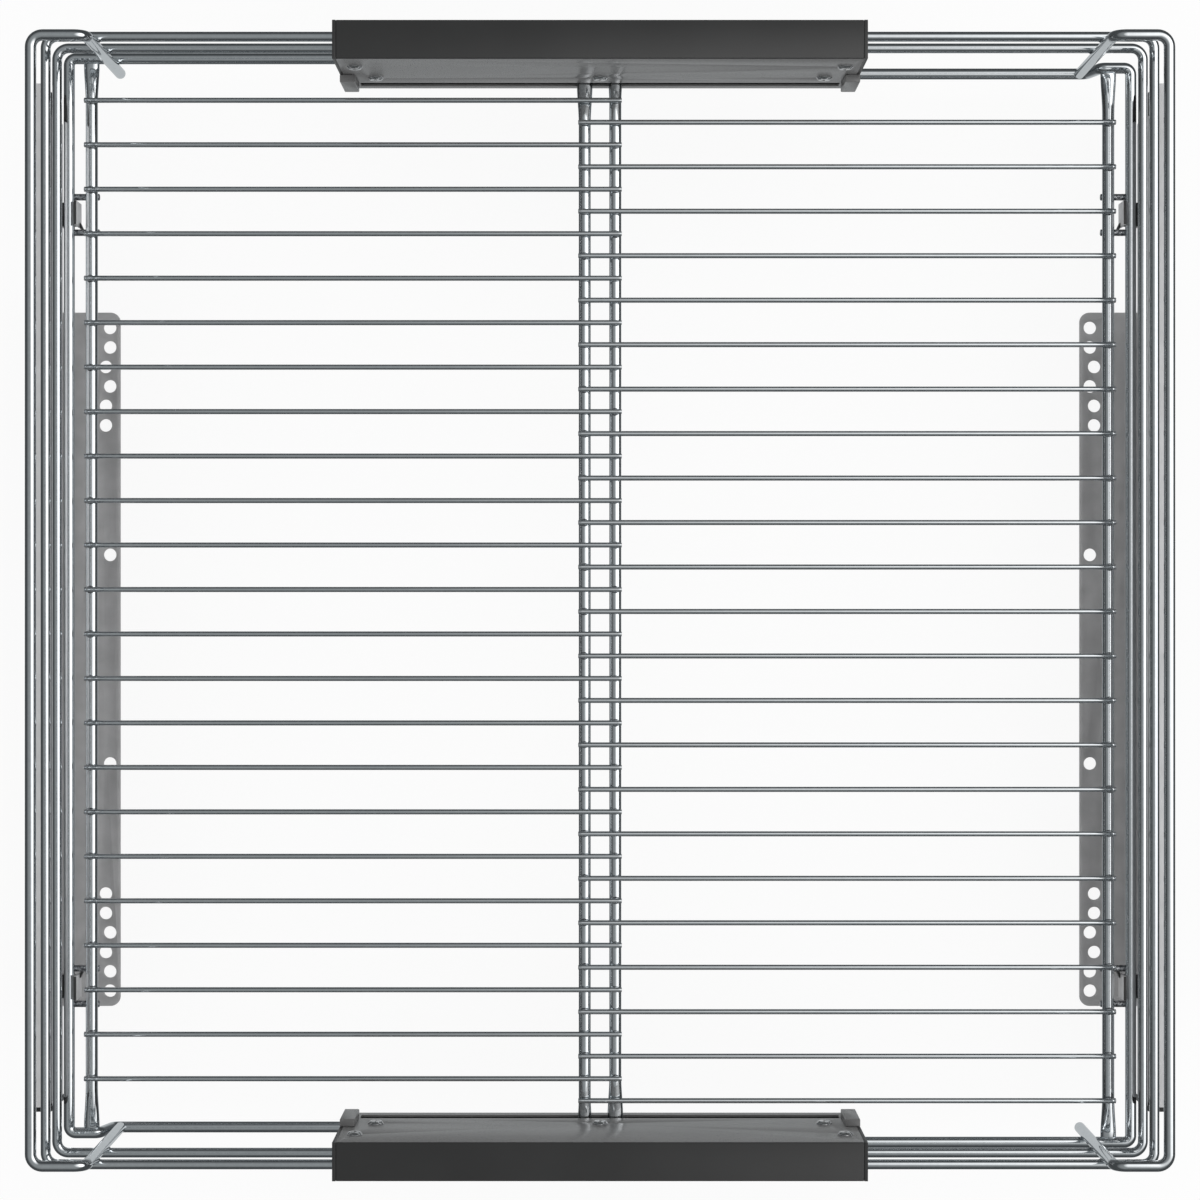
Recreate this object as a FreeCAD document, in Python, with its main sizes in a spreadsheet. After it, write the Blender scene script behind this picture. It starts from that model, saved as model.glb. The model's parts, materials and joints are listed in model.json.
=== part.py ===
import FreeCAD, Part
import math
import os

import Sketcher

# Width-adjustable pull-out wire basket for a kitchen base cabinet, in millimetres.
# +Z is up, +X is to the right and -Y is the way the basket pulls out. The origin is on the
# cabinet floor, under the middle of the basket. The two half baskets are one part, built once as
# it stands on the left and once turned half a turn about Z. The runners are mirror images.

FLOOR_WIRES = 23
BALLS_IN_ROW = 12

SIZES = (
    # name, value, meaning
    ("cabinet_width", 564.0, "inside width of the cabinet"),
    ("basket_depth", 550.0, "front cover's face to rear cover's face"),
    ("top_height", 128.5, "top wire's centre above the cabinet floor"),
    ("wall_step", 28.0, "drop from one wall wire to the next"),
    ("frame_dia", 5.3, "top frame wire"),
    ("wall_dia", 4.75, "wall wires"),
    ("base_dia", 5.5, "base wire"),
    ("bar_dia", 6.0, "floor bars"),
    ("thin_dia", 2.6, "floor wires"),
    ("clip_dia", 3.3, "clip bars"),
    ("frame_inset", 16.0, "cabinet side to the top wire's centre"),
    ("wall_inset", 17.5, "cabinet side to the wall wires' centres"),
    ("bar_inset", 29.3, "cabinet side to the side floor bar's centre"),
    ("leg_inset", 41.5, "cabinet side to the legs' centres"),
    ("arm_inset", 6.0, "cover's face to the centres of the wall wires' arms"),
    ("bend_radius", 5.6, "centre line radius of the wires' bends"),
    ("weld_sink", 0.2, "how far welded wires sink into each other"),
    ("bar_seat", 0.35, "floor bars' undersides below the base wire's"),
    ("bar_end_run", 1.0, "straight run before the inner bar's turned-down end"),
    ("bar_end_shift", 1.2, "inner bar's turned-down end behind the low arm's centre"),
    ("arm_gap", 152.0, "gap between the two halves' arms inside a cover"),
    ("inner_bar_x", 7.6, "inner floor bar's centre past the middle"),
    ("base_end", 4.5, "base wire's end past the inner floor bar"),
    ("base_drop", 15.3, "drop of the base wire's lower arm"),
    ("base_inset", 0.6, "base wire's sides inside the wall wires'"),
    ("low_shift", 0.5, "low arm's centre outside the legs'"),
    ("jog_place", 8.7, "leg to the start of the base wire's drop"),
    ("jog_run", 4.8, "sideways run of the base wire's drop"),
    ("flare_width", 7.8, "width of a floor bar's flattened end"),
    ("flare_height", 4.6, "height of a floor bar's flattened end"),
    ("flare_length", 20.0, "length of a floor bar's flattened end"),
    ("wire_first", 21.1, "rear arms to the first floor wire"),
    ("wire_last", 32.0, "front arms to the last floor wire"),
    ("wire_past_side", 3.0, "floor wires' ends past the side bar"),
    ("wire_past_inner", 3.2, "floor wires' ends past the inner bar"),
    ("wire_gap", 0.35, "floor wires above the bars they cross"),
    ("weld_dia", 2.0, "weld between a floor wire and a bar"),
    ("clip_place", 192.3, "middle to the centre of a pair of clip bars"),
    ("clip_pitch", 17.7, "between the two bars of a pair"),
    ("clip_past", 3.2, "clip bars' ends past the side bar"),
    ("clip_sink", 0.05, "how far the clip bars sink into the base wire"),
    ("hook_length", 12.0, "hook plates, front to back"),
    ("hook_sheet", 1.5, "thickness of the hooks"),
    ("hook_gap", 0.25, "hook plate to the base wire"),
    ("hook_rise", 5.0, "hook plate above the base wire's centre"),
    ("hook_fall", 9.0, "hook plate below the base wire's centre"),
    ("latch_size", 1.5, "latch standing out of a hook plate"),
    ("runner_length", 500.0, "cabinet rail"),
    ("runner_shift", 2.5, "cabinet rail's centre behind the middle"),
    ("runner_height", 45.5, "cabinet rail"),
    ("runner_depth", 11.5, "cabinet rail's back to the drawer rail's face"),
    ("runner_lift", 2.25, "runner's centre above the base wire's centre"),
    ("rail_sheet", 1.2, "sheet of the cabinet and drawer rails"),
    ("middle_sheet", 1.0, "sheet of the middle rail"),
    ("rail_gap", 1.0, "between the backs of two rails"),
    ("lip_setback", 1.6, "cabinet rail's lips behind the middle rail's"),
    ("cabinet_lip", 1.3, "how far the cabinet rail's lips turn in"),
    ("middle_lip", 1.2, "how far the middle rail's lips turn in"),
    ("drawer_lip", 0.9, "how far the drawer rail's lips turn in"),
    ("outer_race", 4.55, "height of the outer ball race"),
    ("inner_race", 3.8, "height of the inner ball race"),
    ("ball_gap", 0.28, "between a ball and its race"),
    ("cage_sheet", 0.4, "sheet of the ball cages"),
    ("cage_length", 250.0, "ball cages"),
    ("rear_room", 14.0, "moving rails shorter than the cabinet rail"),
    ("buffer_depth", 3.0, "front buffer's nose"),
    ("buffer_plug", 14.0, "front buffer's plug inside the drawer rail"),
    ("buffer_room", 2.0, "front buffer's nose to the bracket"),
    ("stop_gap", 1.0, "moving rails to the rear stop"),
    ("stop_slope", 3.0, "flat top of the rear stop before its slope"),
    ("stop_room", 2.0, "rear stop narrower than the cabinet rail"),
    ("slide_gap", 0.3, "between a moving piece and its neighbour"),
    ("bracket_sheet", 1.5, "bracket"),
    ("bracket_length", 355.5, "bracket"),
    ("bracket_shift", 30.15, "bracket's centre in front of the middle"),
    ("bracket_rise", 17.0, "bracket's top above the runner's centre"),
    ("flange_width", 36.1, "bracket's floor flange"),
    ("flange_corner", 5.0, "radius of the flange's free corners"),
    ("hole_dia", 6.5, "screw holes in the flange"),
    ("hole_inset", 30.8, "cabinet side to the line of holes"),
    ("hole_stagger", 2.2, "shift of the staggered holes"),
    ("rivet_dia", 5.0, "rivets between bracket and rail"),
    ("cover_length", 253.8, "covers, with their end caps"),
    ("cover_depth", 18.4, "cover's face to its inner plate's face"),
    ("cover_drop", 17.7, "top wire's centre to the cover's top"),
    ("cover_sheet", 1.2, "cover shell"),
    ("cap_sheet", 1.7, "cover's end caps"),
    ("plate_sheet", 1.0, "cover's inner plate"),
    ("slot_room", 1.4, "slot above and below the floor bars"),
    ("slot_end", 0.7, "slot's end to the lug"),
    ("strip_height", 6.2, "inner plate below the slot"),
    ("foot_gap", 0.6, "inner plate's folded foot to a floor bar's turned-down end"),
    ("cap_room", 0.5, "end cap around a wire"),
    ("guide_room", 0.08, "guide around a wire"),
    ("guide_length", 18.0, "wire guides"),
    ("guide_foot", 5.0, "guide's foot below the lower screw"),
    ("guide_top", 4.0, "guide's top above the upper wire"),
    ("lug_width", 7.3, "lugs on the inner plate"),
    ("lug_depth", 3.9, "lugs on the inner plate"),
    ("lug_height", 27.0, "lugs on the inner plate"),
    ("lug_lift", 0.3, "lug's foot above the base wire's centre"),
    ("screw_dia", 4.0, "screws' shanks"),
    ("screw_head", 8.0, "screws' heads"),
    ("screw_length", 12.0, "screws' shanks"),
    ("head_rise", 1.3, "screws' heads"),
    ("screw_inset", 8.9, "cover's end to the upper screws"),
    ("screw_step", 8.0, "upper screws to the lower screws"),
    ("screw_rise", 4.0, "upper screws above the middle of the two guided wires"),
    ("screw_fall", 3.5, "lower screws' heads below the middle wire"),
    ("spacer_dia", 10.0, "spacer in the middle of a cover"),
)


class Size:
    """A length that knows its formula, so that the same sum sets a number and drives a property."""

    def __init__(self, value, text):
        self.value = value
        self.text = text

    def joined(self, sign, other):
        right = as_size(other)
        total = {"+": self.value + right.value, "-": self.value - right.value}[sign]
        return Size(total, f"({self.text} {sign} {right.text})")

    def __add__(self, other):
        return self.joined("+", other)

    def __sub__(self, other):
        return self.joined("-", other)

    def __mul__(self, factor):
        return Size(self.value * factor, f"({self.text} * {factor})")

    def __truediv__(self, factor):
        return Size(self.value / factor, f"({self.text} / {factor})")

    def __neg__(self):
        return self * -1

    def __float__(self):
        return float(self.value)


def as_size(value):
    return value if isinstance(value, Size) else Size(float(value), f"({value})")


doc = FreeCAD.newDocument("PullOutBasket")
sheet = doc.addObject("Spreadsheet::Sheet", "Sizes")
for row, (name, value, meaning) in enumerate(SIZES, 1):
    sheet.set(f"A{row}", meaning)
    sheet.set(f"B{row}", str(value))
    sheet.setAlias(f"B{row}", name)
doc.recompute()


def size(name):
    return Size(float(sheet.get(name)), f"Sizes.{name}")


# ---------------------------------------------------------------- positions shared by the pieces

half_width = size("cabinet_width") / 2
half_depth = size("basket_depth") / 2
frame_r = size("frame_dia") / 2
wall_r = size("wall_dia") / 2
base_r = size("base_dia") / 2
bar_r = size("bar_dia") / 2
thin_r = size("thin_dia") / 2
clip_r = size("clip_dia") / 2

frame_x = half_width - size("frame_inset")
wall_x = half_width - size("wall_inset")
bar_x = half_width - size("bar_inset")
leg_x = half_width - size("leg_inset")
arm_y = half_depth - size("arm_inset")
leg_y = arm_y - frame_r - wall_r + size("weld_sink")
base_x = wall_x - size("base_inset")
base_y = arm_y - wall_r + base_r
low_y = leg_y + size("low_shift")
bar_end_y = low_y - size("bar_end_shift")

top_z = size("top_height")
upper_z = top_z - size("wall_step")
middle_z = upper_z - size("wall_step")
base_z = middle_z - size("wall_step")
low_z = base_z - size("base_drop")
leg_end_z = low_z + base_r - size("weld_sink")
bar_z = base_z - base_r + bar_r - size("bar_seat")
floor_wire_z = bar_z + bar_r + size("wire_gap") + thin_r
clip_z = base_z - base_r - clip_r + size("clip_sink")

cover_half = size("cover_length") / 2
cover_inner_y = half_depth - size("cover_depth")
cover_top_z = top_z - size("cover_drop")
slot_low_z = bar_z - bar_r - size("slot_room")
slot_high_z = bar_z + bar_r + size("slot_room")
cover_low_z = slot_low_z - size("strip_height")

runner_z = base_z + size("runner_lift")
rail_back_x = half_width - size("bracket_sheet")
rail_face_x = rail_back_x - size("runner_depth")
rail_half = size("runner_height") / 2
rail_inside = rail_half - size("rail_sheet")
middle_half = rail_inside - size("outer_race")
middle_inside = middle_half - size("middle_sheet")
drawer_half = middle_inside - size("inner_race")
moving_length = size("runner_length") - size("rear_room")
moving_y = size("runner_shift") - size("rear_room") / 2
rail_front_y = size("runner_shift") - size("runner_length") / 2


# ---------------------------------------------------------------- small building functions

finished = []


def finish(piece, label):
    """Marks an object as a sub-part of the assembly and gives it its name."""
    piece.Label = label
    finished.append(piece)
    return piece


def drive(piece, **sizes):
    for prop, value in sizes.items():
        piece.setExpression(prop, as_size(value).text)


def place(piece, x, y, z, rotation=None):
    """Puts a piece at a point whose three coordinates stay driven by the sheet."""
    point = [as_size(v) for v in (x, y, z)]
    base = FreeCAD.Vector(*[float(v) for v in point])
    piece.Placement = FreeCAD.Placement(base, rotation or FreeCAD.Rotation())
    for axis, value in zip("xyz", point):
        piece.setExpression(f"Placement.Base.{axis}", value.text)


def rod(name, start, end, radius):
    """A round rod between two points that lie along one axis."""
    ends = [[as_size(v) for v in point] for point in (start, end)]
    low, high = [FreeCAD.Vector(*[float(v) for v in point]) for point in ends]
    run = high - low
    axis = max(range(3), key=lambda i: abs(run[i]))
    piece = doc.addObject("Part::Cylinder", name)
    length = ends[1][axis] - ends[0][axis]
    drive(piece, Radius=radius, Height=length if run[axis] > 0 else -length)
    place(piece, *ends[0], FreeCAD.Rotation(FreeCAD.Vector(0, 0, 1), run))
    return piece


def block(name, low, high):
    """A box between its lowest and highest corners."""
    low = [as_size(v) for v in low]
    high = [as_size(v) for v in high]
    piece = doc.addObject("Part::Box", name)
    drive(piece, Length=high[0] - low[0], Width=high[1] - low[1], Height=high[2] - low[2])
    place(piece, *low)
    return piece


def side_block(name, side, low, high):
    """A box given for the right side, mirrored to the left when side is -1."""
    if side > 0:
        return block(name, low, high)
    return block(name, (-high[0], *low[1:]), (-low[0], *high[1:]))


def joined(name, pieces):
    piece = doc.addObject("Part::MultiFuse", name)
    piece.Shapes = pieces
    return piece


def cut(name, base, tool):
    piece = doc.addObject("Part::Cut", name)
    piece.Base = base
    piece.Tool = tool
    return piece


def new_body(name):
    return doc.addObject("PartDesign::Body", name)


def sketch_on(body, plane, name):
    sketch = body.newObject("Sketcher::SketchObject", name)
    origin_plane = [f for f in body.Origin.OriginFeatures if f.Role == plane][0]
    sketch.AttachmentSupport = [(origin_plane, "")]
    sketch.MapMode = "FlatFace"
    return sketch


def pin_point(sketch, index, point, x, y):
    """Ties one point of the sketch to its two driven distances from the sketch's origin."""
    for kind, value in (("DistanceX", as_size(x)), ("DistanceY", as_size(y))):
        number = sketch.addConstraint(Sketcher.Constraint(kind, -1, 1, index, point, float(value)))
        sketch.setExpression(f"Constraints[{number}]", value.text)


def add_polygon(sketch, points):
    first = sketch.GeometryCount
    count = len(points)
    spots = [FreeCAD.Vector(float(x), float(y), 0) for x, y in points]
    for i in range(count):
        sketch.addGeometry(Part.LineSegment(spots[i], spots[(i + 1) % count]), False)
    for i in range(count):
        following = first + (i + 1) % count
        sketch.addConstraint(Sketcher.Constraint("Coincident", first + i, 2, following, 1))
    for i, (x, y) in enumerate(points):
        pin_point(sketch, first + i, 1, x, y)


def add_circle(sketch, x, y, radius):
    centre = FreeCAD.Vector(float(x), float(y), 0)
    circle = Part.Circle(centre, FreeCAD.Vector(0, 0, 1), float(radius))
    index = sketch.addGeometry(circle, False)
    pin_point(sketch, index, 3, x, y)
    number = sketch.addConstraint(Sketcher.Constraint("Radius", index, float(radius)))
    sketch.setExpression(f"Constraints[{number}]", as_size(radius).text)


def pad(body, sketch, length):
    """Pads a sketch by half of the length to each side of its plane."""
    feature = body.newObject("PartDesign::Pad", sketch.Name + "Pad")
    feature.Profile = sketch
    feature.SideType = "Symmetric"
    drive(feature, Length=length)
    return feature


def pocket_through(body, sketch):
    """Cuts a sketch right through the body, both ways, and checks that it took something off."""
    doc.recompute()
    before = body.Shape.Volume
    feature = body.newObject("PartDesign::Pocket", sketch.Name + "Pocket")
    feature.Profile = sketch
    feature.Type = "ThroughAll"
    feature.SideType = "Symmetric"
    doc.recompute()
    if not body.Shape.Volume < before:
        raise RuntimeError(f"{feature.Name} cuts nothing")
    return feature


def fillet_edges(body, base, radius, chosen):
    """Rounds the edges whose middle point passes the test."""
    doc.recompute()
    names = []
    for number, edge in enumerate(base.Shape.Edges, 1):
        if chosen(edge, edge.CenterOfMass):
            names.append(f"Edge{number}")
    feature = body.newObject("PartDesign::Fillet", base.Name + "Fillet")
    feature.Base = (base, names)
    drive(feature, Radius=radius)
    return feature


def profile_body(name, plane, points, length):
    body = new_body(name)
    sketch = sketch_on(body, plane, name + "Profile")
    add_polygon(sketch, points)
    pad(body, sketch, length)
    return body


def path_with_bends(corners, radius):
    """A chain of straight runs through the corners, with tangent arcs of one radius."""
    points = [FreeCAD.Vector(*[float(v) for v in corner]) for corner in corners]
    edges = []
    here = points[0]
    for i in range(1, len(points) - 1):
        into = (points[i] - points[i - 1]).normalize()
        out = (points[i + 1] - points[i]).normalize()
        half_turn = into.getAngle(out) / 2
        back = radius * math.tan(half_turn)
        start = points[i] - into * back
        end = points[i] + out * back
        bisector = (out - into).normalize()
        centre = points[i] + bisector * (radius / math.cos(half_turn))
        middle = centre - bisector * radius
        edges.append(Part.LineSegment(here, start).toShape())
        edges.append(Part.Arc(start, middle, end).toShape())
        here = end
    edges.append(Part.LineSegment(here, points[-1]).toShape())
    return Part.Wire(edges)


def swept(path, section):
    return path.makePipeShell([section], True, True)


def round_section(path, radius):
    start = path.Edges[0]
    direction = start.tangentAt(start.FirstParameter)
    return Part.Wire(Part.makeCircle(float(radius), path.OrderedVertexes[0].Point, direction))


def shape_piece(name, shape, turn):
    """A bent wire, turned half a turn about Z when it belongs to the right half."""
    piece = doc.addObject("Part::Feature", name)
    piece.Shape = shape
    angle = 0 if turn > 0 else 180
    piece.Placement = FreeCAD.Placement(
        FreeCAD.Vector(), FreeCAD.Rotation(FreeCAD.Vector(0, 0, 1), angle)
    )
    return piece


def bent_wire(name, corners, radius, turn):
    path = path_with_bends(corners, float(size("bend_radius")))
    return shape_piece(name, swept(path, round_section(path, radius)), turn)


def oval(x, y, width, height):
    """A flattened section of a floor bar, lying across it at y."""
    centre = FreeCAD.Vector(x, y, float(bar_z))
    ellipse = Part.Ellipse(
        centre + FreeCAD.Vector(width / 2, 0, 0), centre + FreeCAD.Vector(0, 0, height / 2), centre
    )
    return Part.Wire(ellipse.toShape())


def floor_bar(name, x, rear_y, front_y, turned_down, turn):
    """A floor bar with flattened ends, and with its front end turned down onto the low arm."""
    width = float(size("flare_width"))
    height = float(size("flare_height"))
    flare = float(size("flare_length"))
    dia = 2 * float(bar_r)
    x = float(x)
    rear_y = float(rear_y)
    front_y = float(front_y)
    flat_y = front_y
    if turned_down:
        flat_y = front_y + float(size("bend_radius")) + float(size("bar_end_run"))
    sections = [
        oval(x, rear_y, width, height),
        oval(x, rear_y - flare, dia, dia * 0.999),
        oval(x, flat_y + flare, dia, dia * 0.999),
        oval(x, flat_y, width, height),
    ]
    shape = Part.makeLoft(sections, True, True)
    if turned_down:
        corners = (
            (x, flat_y, bar_z),
            (x, front_y, bar_z),
            (x, front_y, low_z + base_r - size("weld_sink")),
        )
        path = path_with_bends(corners, float(size("bend_radius")) * 0.8)
        shape = shape.fuse(swept(path, oval(x, flat_y, width, height)))
    return shape_piece(name, shape, turn)


# ---------------------------------------------------------------- half basket

def half_basket(side_name, turn):
    """turn is 1 for the left half as described, and -1 for the half turned half a turn."""

    def spot(x, y, z):
        return (as_size(x) * turn, as_size(y) * turn, z)

    def called(name):
        return f"{side_name}_{name}"

    frame = bent_wire(
        called("top_frame"),
        (
            (-leg_x, leg_y, leg_end_z),
            (-leg_x, leg_y, top_z),
            (-frame_x, leg_y, top_z),
            (-frame_x, -leg_y, top_z),
            (-leg_x, -leg_y, top_z),
            (-leg_x, -leg_y, leg_end_z),
        ),
        frame_r,
        turn,
    )
    finish(frame, called("top_frame"))

    arm_end_x = size("arm_gap") / 2
    for name, z in (("upper_wire", upper_z), ("middle_wire", middle_z)):
        corners = (
            (-arm_end_x, arm_y, z),
            (-wall_x, arm_y, z),
            (-wall_x, -arm_y, z),
            (-arm_end_x, -arm_y, z),
        )
        finish(bent_wire(called(name), corners, wall_r, turn), called(name))

    inner_x = size("inner_bar_x")
    base_end_x = inner_x + size("base_end")
    jog_x = leg_x + size("jog_place")
    corners = (
        (base_end_x, base_y, base_z),
        (-base_x, base_y, base_z),
        (-base_x, -low_y, base_z),
        (-jog_x, -low_y, base_z),
        (size("jog_run") - jog_x, -low_y, low_z),
        (base_end_x, -low_y, low_z),
    )
    path = path_with_bends(corners, float(size("bend_radius")) * 0.6)
    base = shape_piece(called("base_wire"), swept(path, round_section(path, base_r)), turn)
    finish(base, called("base_wire"))

    rear_end = base_y - base_r + size("weld_sink")
    side_front = base_r - low_y - size("weld_sink")
    side_bar = floor_bar(called("side_floor_bar"), -bar_x, rear_end, side_front, False, turn)
    finish(side_bar, called("side_floor_bar"))
    inner_bar = floor_bar(called("inner_floor_bar"), inner_x, rear_end, -bar_end_y, True, turn)
    finish(inner_bar, called("inner_floor_bar"))

    first_y = arm_y - size("wire_first")
    last_y = size("wire_last") - arm_y
    pitch = (first_y - last_y) / (FLOOR_WIRES - 1)
    wires = []
    for i in range(FLOOR_WIRES):
        y = first_y - pitch * i
        start = spot(-bar_x - size("wire_past_side"), y, floor_wire_z)
        end = spot(inner_x + size("wire_past_inner"), y, floor_wire_z)
        wires.append(rod(f"{side_name}Wire{i}", start, end, thin_r))
        for bar_name, x in (("Side", -bar_x), ("Inner", inner_x)):
            low = spot(x, y, bar_z + bar_r - size("weld_sink"))
            high = spot(x, y, floor_wire_z)
            weld = rod(f"{side_name}{bar_name}Weld{i}", low, high, size("weld_dia") / 2)
            wires.append(weld)
    finish(joined(called("floor_wires"), wires), called("floor_wires"))

    clips = []
    for place_sign in (-1, 1):
        for pitch_sign in (-1, 1):
            y = size("clip_place") * place_sign + size("clip_pitch") / 2 * pitch_sign
            start = spot(-base_x - base_r / 2, y, clip_z)
            end = spot(size("clip_past") - bar_x, y, clip_z)
            clips.append(rod(f"{side_name}Clip{len(clips)}", start, end, clip_r))
    finish(joined(called("clip_bars"), clips), called("clip_bars"))


# ---------------------------------------------------------------- runner, hooks and bracket

def channel(side, back, front, half_height, thickness, lip):
    """Points of a C-shaped rail: its back is at x = back, its lips are at x = front."""
    step = thickness if float(front) > float(back) else -thickness
    inside = half_height - thickness
    lip_z = inside - lip
    upper = [
        (back, half_height),
        (front, half_height),
        (front, lip_z),
        (front - step, lip_z),
        (front - step, inside),
        (back + step, inside),
    ]
    lower = [(x, -z) for x, z in reversed(upper)]
    return [(x * side, runner_z + z) for x, z in upper + lower]


def ball_cage(name, side, back_x, front_x, race_z, ball_r):
    """A C-shaped sheet between two rails, with a row of balls in each of its flanges."""
    length = size("cage_length")
    sheet_half = size("cage_sheet") / 2
    low_y = moving_y - length / 2
    high_y = moving_y + length / 2
    pieces = [
        side_block(
            name + "Back",
            side,
            (back_x - size("cage_sheet"), low_y, runner_z - race_z),
            (back_x, high_y, runner_z + race_z),
        )
    ]
    for row, sign in (("Upper", 1), ("Lower", -1)):
        z = runner_z + race_z * sign
        pieces.append(
            side_block(
                name + row,
                side,
                (front_x, low_y, z - sheet_half),
                (back_x, high_y, z + sheet_half),
            )
        )
        pitch = length / BALLS_IN_ROW
        for i in range(BALLS_IN_ROW):
            ball = doc.addObject("Part::Sphere", f"{name}{row}Ball{i}")
            drive(ball, Radius=ball_r)
            place(ball, (back_x + front_x) / 2 * side, low_y + pitch / 2 + pitch * i, z)
            pieces.append(ball)
    return joined(name, pieces)


def drill_along_x(body, name, radius):
    sketch = sketch_on(body, "YZ_Plane", name)
    for y in rivet_places:
        add_circle(sketch, y, runner_z, radius)
    pocket_through(body, sketch)


rivet_places = [size("bracket_length") * share - size("bracket_shift") for share in (-0.4, 0, 0.4)]


def runner(side_name, side):
    """side is -1 on the left and 1 on the right."""

    def called(name):
        return f"{side_name}_{name}"

    def rail(name, back, front, half_height, thickness, lip, length, centre_y):
        points = channel(side, back, front, half_height, thickness, lip)
        body = profile_body(called(name), "XZ_Plane", points, length)
        place(body, 0, centre_y, 0)
        return finish(body, called(name))

    rail_sheet = size("rail_sheet")
    middle_back = rail_back_x - rail_sheet - size("rail_gap")
    middle_front = rail_face_x + rail_sheet + size("slide_gap")
    drawer_back = middle_back - size("middle_sheet") - size("rail_gap") - size("cage_sheet")
    cabinet_front = middle_front + size("lip_setback")
    cabinet = rail(
        "cabinet_rail",
        rail_back_x,
        cabinet_front,
        rail_half,
        rail_sheet,
        size("cabinet_lip"),
        size("runner_length"),
        size("runner_shift"),
    )
    drill_along_x(cabinet, called("RailRivetHoles"), size("rivet_dia") / 2)
    sheet_of_middle = size("middle_sheet")
    rail(
        "middle_rail",
        middle_back,
        middle_front,
        middle_half,
        sheet_of_middle,
        size("middle_lip"),
        moving_length,
        moving_y,
    )
    rail(
        "drawer_rail",
        rail_face_x,
        drawer_back,
        drawer_half,
        rail_sheet,
        size("drawer_lip"),
        moving_length,
        moving_y,
    )

    cage_gap = (size("rail_gap") - size("cage_sheet")) / 2
    outer = ball_cage(
        called("outer_ball_cage"),
        side,
        rail_back_x - rail_sheet - cage_gap,
        cabinet_front + rail_sheet + size("slide_gap"),
        middle_half + size("outer_race") / 2,
        size("outer_race") / 2 - size("ball_gap"),
    )
    finish(outer, called("outer_ball_cage"))
    inner = ball_cage(
        called("inner_ball_cage"),
        side,
        middle_back - sheet_of_middle - cage_gap,
        middle_front + sheet_of_middle + size("slide_gap"),
        drawer_half + size("inner_race") / 2,
        size("inner_race") / 2 - size("ball_gap"),
    )
    finish(inner, called("inner_ball_cage"))

    nose_back_y = rail_front_y - size("slide_gap")
    nose = side_block(
        called("BufferNose"),
        side,
        (rail_face_x, nose_back_y - size("buffer_depth"), runner_z - middle_half),
        (rail_back_x - size("buffer_room"), nose_back_y, runner_z + middle_half),
    )
    plug_half = drawer_half - rail_sheet
    plug = side_block(
        called("BufferPlug"),
        side,
        (rail_face_x + rail_sheet, nose_back_y, runner_z - plug_half),
        (drawer_back - rail_sheet, rail_front_y + size("buffer_plug"), runner_z + plug_half),
    )
    finish(joined(called("front_buffer"), [nose, plug]), called("front_buffer"))

    stop_low_y = moving_y + moving_length / 2 + size("stop_gap")
    stop_high_y = size("runner_shift") + size("runner_length") / 2
    stop_half = middle_half
    stop_points = [
        (stop_low_y, runner_z - stop_half),
        (stop_high_y, runner_z - stop_half),
        (stop_high_y, runner_z + stop_half / 3),
        (stop_low_y + size("stop_slope"), runner_z + stop_half),
        (stop_low_y, runner_z + stop_half),
    ]
    stop_depth = size("runner_depth") - rail_sheet * 2 - size("stop_room")
    stop = profile_body(called("rear_stop"), "YZ_Plane", stop_points, stop_depth)
    place(stop, (rail_back_x - rail_sheet - stop_depth / 2) * side, 0, 0)
    finish(stop, called("rear_stop"))

    hook_x = base_x - base_r - size("hook_gap")
    plate_x = hook_x - size("hook_sheet")
    shelf_z = base_z - base_r
    hooks = []
    latches = []
    for name, sign in (("Front", -1), ("Rear", 1)):
        middle_y = size("clip_place") * sign
        low_y = middle_y - size("hook_length") / 2
        high_y = middle_y + size("hook_length") / 2
        foot_z = base_z - size("hook_fall")
        spans = (
            ("Plate", plate_x, hook_x, foot_z, base_z + size("hook_rise")),
            ("Shelf", plate_x, rail_face_x, shelf_z - size("hook_sheet"), shelf_z),
            ("Back", rail_face_x - size("hook_sheet"), rail_face_x, foot_z, shelf_z),
        )
        for part_name, low_x, high_x, low_z_here, high_z_here in spans:
            hooks.append(
                side_block(
                    called(f"{name}Hook{part_name}"),
                    side,
                    (low_x, low_y, low_z_here),
                    (high_x, high_y, high_z_here),
                )
            )
        inner_y = middle_y - size("hook_length") / 2 * sign
        tip_y = inner_y + size("latch_size") * 1.5 * sign
        start_y = inner_y - size("slide_gap") * 3 * sign
        points = [
            (plate_x * side, start_y),
            ((plate_x - size("latch_size")) * side, start_y),
            (plate_x * side, tip_y),
        ]
        latch = profile_body(called(f"{name}Latch"), "XY_Plane", points, size("latch_size") * 3)
        place(latch, 0, 0, shelf_z - size("latch_size") * 2)
        latches.append(latch)
    finish(joined(called("hooks"), hooks), called("hooks"))
    finish(joined(called("hook_latches"), latches), called("hook_latches"))

    bracket(side_name, side)


HOLES = (
    # place along the bracket, front to back from the middle of the cabinet, and staggered or not
    (139.8, False),
    (129.8, False),
    (119.8, True),
    (109.8, False),
    (99.8, True),
    (89.8, True),
    (23.4, False),
    (-83.6, False),
    (-150.3, True),
    (-160.3, True),
    (-170.2, False),
    (-180.3, True),
    (-190.2, False),
    (-200.1, False),
)


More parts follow.
